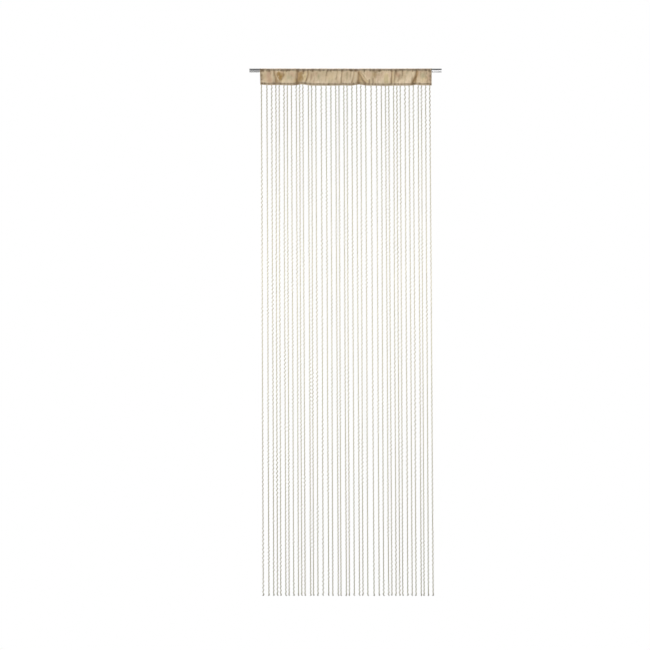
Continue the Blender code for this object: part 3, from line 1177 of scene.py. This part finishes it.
    def wrinkles(self, x: Array, side: Array, rise: Array, above_hem: Array) -> Array:
        """Adds up the small uneven wrinkles, and the puckers that the hem's seam draws up.

        Args:
            x: Places along the rod.
            side: The layer of each place.
            rise: The way up the face.
            above_hem: The way up the face from the hem.

        Returns:
            The height at each place.
        """
        chance = random.Random(self.seed)
        height = np.zeros_like(rise)
        longest = self.wrinkle_lengths[0]
        for length in self.wrinkle_lengths:
            for layer in Side:
                phase, drift = chance.uniform(0.0, 6.3), chance.uniform(0.0, 6.3)
                lean = chance.uniform(-9.0, 9.0)
                size = 0.5 + 0.5 * np.sin(x / (2.3 * length) + drift)
                ripple = np.sin(x * FULL_TURN / length + phase + lean * rise * 6.0)
                height += np.where(side == layer.value, size * ripple * length / longest, 0.0)
        above_roll = ease((above_hem - 0.004) / 0.012)
        return self.wrinkle * height * above_roll + self.hems.puckers(x, above_hem)

    def face(self, side: Side, x: Array, above_hem: Array) -> Array:
        """Finds points on a layer's outer face.

        Args:
            side: The layer.
            x: Places along the rod.
            above_hem: Their heights above the hem.

        Returns:
            The points.
        """
        x = np.asarray(x, dtype=float)
        down = 1.0 + above_hem / self.gathers.hem_z(x)
        layer = np.full_like(x, side.value)
        angle = np.full_like(x, 0.0 if side is Side.FRONT else math.pi)
        points, _ = self.surface(x, layer, down, angle)
        points[:, 1] += side.value * 0.5 * self.cloth
        return points


# ---------------------------------------------------------------------------- stitching


@dataclass
class Stitching:
    """The running stitches along the lower hem and up the side hems, on both layers.

    Attributes:
        header: The header that they hold.
        thread: The thread's thickness.
        length: How much of a stitch shows.
        step: How far apart the stitches start.
        sides, rings: How finely a stitch is divided, round it and along it.
        scatter: How far its ends stray.
        seed: The seed for that.
    """

    header: Header
    thread: float = 0.0013
    length: float = 0.0044
    step: float = 0.0076
    sides: int = 6
    rings: int = 5
    scatter: float = 0.0004
    seed: int = 21

    def build(self, finish: bpy.types.Material) -> bpy.types.Object:
        """Makes all the stitches as one joined mesh.

        Args:
            finish: The thread's finish.

        Returns:
            The stitches.
        """
        chance = random.Random(self.seed)
        threads = TubeMesh()
        for side in Side:
            for path in self.places(side, chance):
                threads.add(self.stitch(path, side))
        made = threads.build("header_stitches", finish)
        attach(made, "root")
        return made

    def places(self, side: Side, chance: random.Random) -> list[Array]:
        """Lays out the stitches of one layer.

        Args:
            side: The layer.
            chance: The source of the stitches' scatter.

        Returns:
            The middle line of each stitch.
        """
        header, hems = self.header, self.header.hems
        paths = []
        seam = hems.band - hems.seam_drop
        left, right = header.left + hems.side, header.right - hems.side
        for number in range(int((right - left) / self.step)):
            start = left + (number + 0.2) * self.step + chance.uniform(-1, 1) * self.scatter
            x = np.linspace(start, start + self.length, self.rings)
            ends = [chance.uniform(-1, 1) * self.scatter for _ in range(2)]
            paths.append(header.face(side, x, seam + np.linspace(*ends, self.rings)))
        rows = int((header.gathers.hem_drop - hems.band - 0.004) / self.step)
        for edge in (left, right):
            for number in range(rows):
                start = hems.band + (number + 0.4) * self.step + chance.uniform(-1, 1) * self.scatter
                x = np.full(self.rings, edge + chance.uniform(-1, 1) * self.scatter)
                paths.append(header.face(side, x, np.linspace(start, start + self.length, self.rings)))
        return paths

    def stitch(self, path: Array, side: Side) -> Array:
        """Shapes one stitch, a short thread that dips into the cloth at both ends.

        Args:
            path: Its middle line on the cloth.
            side: The layer that it lies on.

        Returns:
            Its rings.
        """
        share = np.linspace(0.0, math.pi, self.rings)
        radius = 0.5 * self.thread * (0.4 + 0.6 * np.sin(share))
        out = np.array((0.0, float(side.value), 0.0))
        middle = path + np.outer(0.35 * self.thread * (np.sin(share) - 0.5), out)
        along = path[-1] - path[0]
        along /= np.linalg.norm(along)
        across = np.cross(out, along)
        across /= np.linalg.norm(across)
        out = np.cross(along, across)
        turns = np.arange(self.sides) * FULL_TURN / self.sides
        ring = np.cos(turns)[:, None] * across + np.sin(turns)[:, None] * out
        return middle[:, None, :] + radius[:, None, None] * ring[None, :, :]


# ---------------------------------------------------------------------------- the strings


@dataclass
class Tape:
    """The woven tape that the strings are sewn to, between the header's layers.

    Attributes:
        header: The header that it is sewn into.
        top, foot: Its two edges, as shares of the drop to the hem.
        half_depth: Half its thickness.
        inset: How far its ends lie inside the header's.
        columns: How many points it has along it.
    """

    header: Header
    top: float = 0.8
    foot: float = 0.955
    half_depth: float = 0.0008
    inset: float = 0.004
    columns: int = 260

    def build(self, finish: bpy.types.Material) -> bpy.types.Object:
        """Makes the tape.

        Args:
            finish: The cord's finish.

        Returns:
            The tape.
        """
        gathers = self.header.gathers
        x = np.linspace(self.header.left + self.inset, self.header.right - self.inset, self.columns)
        hem = gathers.hem_z(x)
        edges = []
        for share, side in ((self.top, -1), (self.foot, -1), (self.foot, 1), (self.top, 1)):
            y = gathers.wave(x, np.full_like(x, share)) + side * self.half_depth
            edges.append(np.stack([x, y, hem * share], axis=-1))
        rings = np.stack(edges, axis=1)
        zeros = np.zeros(rings.shape[:2])
        band = TubeMesh()
        band.add(rings, groove=zeros + 0.4, tip=zeros, tone=zeros)
        return band.build("string_tape", finish)


@dataclass
class Strings:
    """The fringe: forty twisted two-ply cords on a tape between the header's layers.

    Attributes:
        header: The header that they hang from.
        first_x: Where the first string on the left leaves it.
        end_z: The level at which they are cut off.
        end_scatter: How far above or below it a string may end.
        gap_widths: The four widths of the gaps from string to string, by letter.
        gaps: The gaps in their order, by letter.
        lean_left, lean_right: How far to the right of plumb the first and the last string end.
        lean_scatter, lean_seed: How far a string's lean strays, and the seed for that.
        root: Where they leave the tape, as a share of the drop to the hem.
        half_width, half_depth: Half a cord's width, and half its depth.
        ply: How far its two plies stand out.
        sides, rings: How finely a cord is divided, round it and along it.
        twist_length: How far down the cord one full turn of its twist reaches.
        crimp_length: The least and the greatest length of one full zigzag.
        straight_crimp, full_crimp: How wide the zigzag is at its least and at its most.
        crimp_depth: How deep it is, as a share of its width.
        crimp_fade: How far down the cord a zigzag stretch takes to grow.
        bead: How much the cord swells at a kink.
        kink_shade: How strongly painted shade comes and goes with the kinks.
        own_tone: The least and the greatest of the strings' own tones.
        top_shade, top_fade: How much painted shade deepens the tone at the top, and how far down that
            reaches.
        end_shade, end_fade: The same for the end, and how far up that reaches.
        foot_shade, foot_fade: The same again, for the last part of the end.
        tip_length, tip_spread: The length of the frayed tip, and how much it spreads.
        sway: How far a cord strays from a straight line.
        seed: The seed for all that differs from string to string.
    """

    header: Header
    first_x: float = -0.398
    end_z: float = -2.487
    end_scatter: float = 0.0006
    gap_widths: dict[str, float] = field(
        default_factory=lambda: {"n": 0.0157, "c": 0.0197, "m": 0.0227, "w": 0.0258}
    )
    gaps: str = "wmcnmncmnn wncwmmmnmn mmcmwwmcnm nnmccmncc"
    lean_left: float = 0.009
    lean_right: float = 0.015
    lean_scatter: float = 0.002
    lean_seed: int = 12
    root: float = 0.9
    half_width: float = 0.002
    half_depth: float = 0.00135
    ply: float = 0.2
    sides: int = 6
    rings: int = 1540
    twist_length: float = 0.0176
    crimp_length: tuple[float, float] = (0.017, 0.021)
    straight_crimp: float = 0.0011
    full_crimp: float = 0.0028
    crimp_depth: float = 0.6
    crimp_fade: float = 0.012
    bead: float = 0.16
    kink_shade: float = 0.7
    own_tone: tuple[float, float] = (0.06, 0.26)
    top_shade: float = 0.49
    top_fade: float = 0.3
    end_shade: float = 0.5
    end_fade: float = 0.55
    foot_shade: float = 0.5
    foot_fade: float = 0.08
    tip_length: float = 0.016
    tip_spread: float = 0.34
    sway: float = 0.0005
    seed: int = 40

    def build(self, finish: bpy.types.Material) -> list[bpy.types.Object]:
        """Makes the tape and every string.

        Args:
            finish: The cord's finish, which the tape shares.

        Returns:
            The tape and the strings, which stand for the fringe's solid.
        """
        pieces = [Tape(self.header).build(finish)]
        chance = random.Random(self.seed)
        for number, (x, lean) in enumerate(self.places(), start=1):
            cord = TubeMesh()
            rings, shades = self.cord(x, lean, chance)
            cord.add(rings, **shades)
            pieces.append(cord.build(f"string_{number:02d}", finish))
        for piece in pieces:
            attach(piece, "root")
            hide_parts("strings")
        return pieces

    def places(self) -> list[tuple[float, float]]:
        """Lays out the strings along the header.

        Returns:
            Where each string leaves the header, and how far to the right its end hangs.
        """
        gaps = self.gaps.replace(" ", "") + "n"
        chance = random.Random(self.lean_seed)
        places = []
        x = self.first_x
        for number, gap in enumerate(gaps):
            lean = self.lean_left + (self.lean_right - self.lean_left) * number / (len(gaps) - 1)
            places.append((x, lean + chance.uniform(-self.lean_scatter, self.lean_scatter)))
            x += self.gap_widths[gap]
        return places

    def cord(self, x: float, lean: float, chance: random.Random) -> tuple[Array, dict[str, Array]]:
        """Draws one string.

        Args:
            x: Where it leaves the header.
            lean: How far to the right its end hangs.
            chance: The source of its crimp, twist and sway.

        Returns:
            Its rings, and for each point how deep in the twist it lies, how near the tip, and how
            deep its tone is.
        """
        gathers = self.header.gathers
        top = float(gathers.hem_z(np.array(x))) * self.root
        end = self.end_z + chance.uniform(-self.end_scatter, self.end_scatter)
        along, crimp = self.crimp(top - end, chance)
        z = top - along
        fall = along / along[-1]
        turn = FULL_TURN * along / chance.uniform(*self.crimp_length) + chance.uniform(0.0, 6.3)
        sway = np.sin(math.pi * fall) * np.sin(chance.uniform(3.0, 8.0) * fall + chance.uniform(0.0, 6.3))
        freed = ease((along - 0.004) / 0.02)
        middle_x = x + lean * fall + freed * (crimp * np.cos(turn) + self.sway * sway)
        middle_y = freed * self.crimp_depth * crimp * np.sin(turn)
        middle_y = middle_y + float(gathers.wave(np.array(x), np.array(self.root)))
        near_tip = ease(1.0 - (z - end) / self.tip_length)
        ply_turn = FULL_TURN * along / self.twist_length + chance.uniform(0.0, 6.3)
        around = -FULL_TURN * np.arange(self.sides) / self.sides
        lobe = np.cos(2.0 * (around[None, :] - ply_turn[:, None]))
        kink = np.clip(crimp / self.full_crimp, 0.0, 1.0)
        beaded = 1.0 + self.bead * np.sqrt(kink) * np.sin(turn)
        size = (1.0 + self.ply * lobe) * ((1.0 + self.tip_spread * near_tip) * beaded)[:, None]
        rings = np.stack([
            middle_x[:, None] + self.half_width * size * np.cos(around),
            middle_y[:, None] + self.half_depth * size * np.sin(around),
            np.broadcast_to(z[:, None], size.shape),
        ], axis=-1)
        # Painted shade at the kinks, and painted shade that deepens the tone towards the top and the end.
        kinked = self.kink_shade * (0.18 + 0.62 * np.sin(turn)) * np.sqrt(kink)
        tone = chance.uniform(*self.own_tone) + self.top_shade * bell(along, self.top_fade) + kinked
        for deeper, fade in ((self.end_shade, self.end_fade), (self.foot_shade, self.foot_fade)):
            tone = tone + deeper * bell(along[-1] - along, fade)
        return rings, {
            "groove": 0.5 - 0.5 * lobe,
            "tip": np.broadcast_to(near_tip[:, None], size.shape),
            "tone": np.broadcast_to(tone[:, None], size.shape),
        }

    def crimp(self, length: float, chance: random.Random) -> tuple[Array, Array]:
        """Lays out a string's zigzag stretches, which come more often near its two ends.

        Args:
            length: The string's length.
            chance: The source of the stretches.

        Returns:
            How far down the string each ring lies, closer together where it zigzags, and how wide
            the zigzag is there.
        """
        along = np.linspace(0.0, length, 2 * self.rings)
        width = np.full_like(along, self.straight_crimp)
        place = chance.uniform(-0.20, 0.06)
        while place < length:
            stretch = chance.uniform(0.04, 0.24)
            size = chance.uniform(0.45, 1.0) * self.full_crimp
            width = np.maximum(width, size * window(along, place, place + stretch, self.crimp_fade))
            rest = 0.35 + 1.3 * math.sin(math.pi * min(max(place / length, 0.0), 1.0))
            place += stretch + rest * chance.uniform(0.02, 0.22)
        rings = spaced(along, 1.0 + 1.2 * width / self.full_crimp, self.rings)
        return rings, np.interp(rings, along, width)


# ---------------------------------------------------------------------------- the rod and studio


@dataclass
class Rod:
    """The tube that carries the header. It keeps its solid."""

    node: str = "rod"

    def dress(self, finish: bpy.types.Material) -> None:
        """Gives the tube its finish.

        Args:
            finish: The plating.
        """
        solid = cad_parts[self.node]
        if not solid.material_slots:
            solid.data.materials.append(finish)
        for slot in solid.material_slots:
            slot.material = finish


@dataclass
class Panel:
    """A soft light panel.

    Attributes:
        name: The light's name.
        place: The middle of the panel.
        target: The point that it faces.
        size: Its width and height.
        power: Its power in watts.
        colour: The light's colour.
    """

    name: str
    place: Place
    target: Place
    size: tuple[float, float]
    power: float
    colour: Colour = (1.0, 1.0, 1.0)

    def build(self) -> bpy.types.Object:
        """Makes the light, which the camera itself never sees.

        Returns:
            The light.
        """
        light = bpy.data.lights.new(self.name, "AREA")
        light.shape = "RECTANGLE"
        light.size, light.size_y = self.size
        light.energy = self.power
        light.color = self.colour
        made = link_object(self.name, light)
        made.location = self.place
        aim = Vector(self.target) - Vector(self.place)
        made.rotation_euler = aim.to_track_quat("-Z", "Y").to_euler()
        made.visible_camera = False
        return made


@dataclass
class Studio:
    """The camera, the soft lights, the floor and the plain surroundings.

    Attributes:
        view_height: The height of what the camera sees, and the width too.
        view_x, view_z: The middle of what it sees.
        distance: How far it stands in front of the rod.
        floor_z, floor_size: The floor's level and its size.
        zenith, horizon, ground: The light that comes from above, from the sides and from below.
        backdrop: The light that comes from behind the curtain.
        backdrop_edge: How far round to the back that light starts, and where it is full.
        panels: The soft lights. Those named for the rod show as bands in its bare ends.
    """

    view_height: float = 3.0778
    view_x: float = -0.0971
    view_z: float = -1.2049
    distance: float = 6.0
    floor_z: float = -2.53
    floor_size: float = 14.0
    zenith: Colour = (0.1, 0.1, 0.1)
    horizon: Colour = (0.16, 0.16, 0.16)
    ground: Colour = (0.05, 0.05, 0.05)
    backdrop: Colour = (0.28, 0.28, 0.28)
    backdrop_edge: tuple[float, float] = (0.15, 0.65)
    panels: tuple[Panel, ...] = (
        Panel("front_left", (-0.80, -0.95, -0.92), (0.0, 0.0, -0.92), (0.5, 0.6), 13.6),
        Panel("front_right", (0.80, -0.95, -0.92), (0.0, 0.0, -0.92), (0.5, 0.6), 13.6),
        Panel("back_left", (-1.3, 1.9, -0.5), (0.0, 0.0, -0.6), (0.6, 0.9), 14.0),
        Panel("back_right", (1.3, 1.9, -0.5), (0.0, 0.0, -0.6), (0.6, 0.9), 14.0),
        Panel("front_low", (0.0, -1.3, -1.75), (0.0, 0.0, -2.35), (0.62, 0.6), 7.0, (1.0, 0.99, 0.94)),
        Panel("side_left", (-1.7, -0.9, 0.3), (0.0, 0.0, 0.0), (0.4, 0.4), 7.0),
        Panel("top_card", (0.0, 0.40, 1.25), (0.0, 0.0, 0.0), (0.5, 0.3), 20.0),
        Panel("rod_left", (-0.49, -0.462, 0.125), (-0.49, 0.0, 0.0), (0.2, 0.42), 0.11),
        Panel("rod_right", (0.47, -0.50, 0.0), (0.47, 0.0, 0.0), (0.2, 0.56), 0.42),
        Panel("rod_right_low", (0.47, -0.25, -0.45), (0.47, 0.0, 0.0), (0.2, 0.4), 0.09),
    )

    def build(self, floor_finish: bpy.types.Material) -> None:
        """Makes the whole studio.

        Args:
            floor_finish: The floor's finish.
        """
        self.camera()
        self.surroundings()
        for panel in self.panels:
            panel.build()
        self.floor(floor_finish)

    def camera(self) -> None:
        """Places the camera straight in front, with parallel sight lines."""
        lens = bpy.data.cameras.new("front_camera")
        lens.type = "ORTHO"
        lens.ortho_scale = self.view_height
        made = link_object("front_camera", lens)
        made.location = (self.view_x, -self.distance, self.view_z)
        made.rotation_euler = (math.radians(90.0), 0.0, 0.0)
        bpy.context.scene.camera = made
        bpy.context.scene.view_settings.view_transform = "Standard"

    def surroundings(self) -> None:
        """Makes the air plain white to look at, and a soft studio to be lit by."""
        world = bpy.data.worlds.new("soft_studio")
        bpy.context.scene.world = world
        world.use_nodes = True
        graph = NodeGraph(world.node_tree)
        graph.tree.nodes.clear()
        place = graph.node("ShaderNodeTexCoord").outputs["Generated"]
        parts = graph.node("ShaderNodeSeparateXYZ", {"Vector": place})
        sky = graph.node("ShaderNodeValToRGB", {"Fac": graph.spread(parts.outputs["Z"], -1.0, 1.0)})
        sky.color_ramp.elements[0].color = (*self.ground, 1.0)
        sky.color_ramp.elements[1].color = (*self.zenith, 1.0)
        sky.color_ramp.elements.new(0.5).color = (*self.horizon, 1.0)
        behind = graph.spread(parts.outputs["Y"], *self.backdrop_edge, interpolation="SMOOTHSTEP")
        air = graph.mix(behind, sky.outputs["Color"], self.backdrop)
        lit = graph.node("ShaderNodeBackground", {"Color": air})
        seen = graph.node("ShaderNodeBackground", {"Color": (1.0, 1.0, 1.0)})
        chosen = graph.node("ShaderNodeMixShader", {
            "Fac": graph.node("ShaderNodeLightPath").outputs["Is Camera Ray"],
            1: lit.outputs["Background"],
            2: seen.outputs["Background"],
        })
        graph.node("ShaderNodeOutputWorld", {"Surface": chosen.outputs["Shader"]})

    def floor(self, finish: bpy.types.Material) -> None:
        """Lays the floor under the strings' ends.

        Args:
            finish: The floor's finish.
        """
        half = 0.5 * self.floor_size
        corners = np.array([(-half, -half, 0.0), (half, -half, 0.0), (half, half, 0.0), (-half, half, 0.0)])
        corners[:, 2] = self.floor_z
        mesh_object("studio_floor", corners, [[0, 1, 2, 3]], [finish])


# ---------------------------------------------------------------------------- the whole


def main() -> None:
    """Builds the studio and the curtain, piece by piece."""
    logging.basicConfig(level=logging.INFO, format="%(message)s")
    Studio().build(FloorFinish().build())
    log.info("studio: camera, lights and floor")
    Rod().dress(ChromeFinish().build())
    log.info("rod: finished")
    header = Header()
    cloth = header.build(SatinFinish().build())
    log.info("header: %d points", len(cloth.data.vertices))
    stitches = Stitching(header).build(ThreadFinish().build())
    log.info("stitches: %d points", len(stitches.data.vertices))
    strings = Strings(header).build(CordFinish().build())
    log.info("fringe: %d pieces of %d points", len(strings), sum(len(s.data.vertices) for s in strings))
    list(strings)


if __name__ == "__main__":
    main()
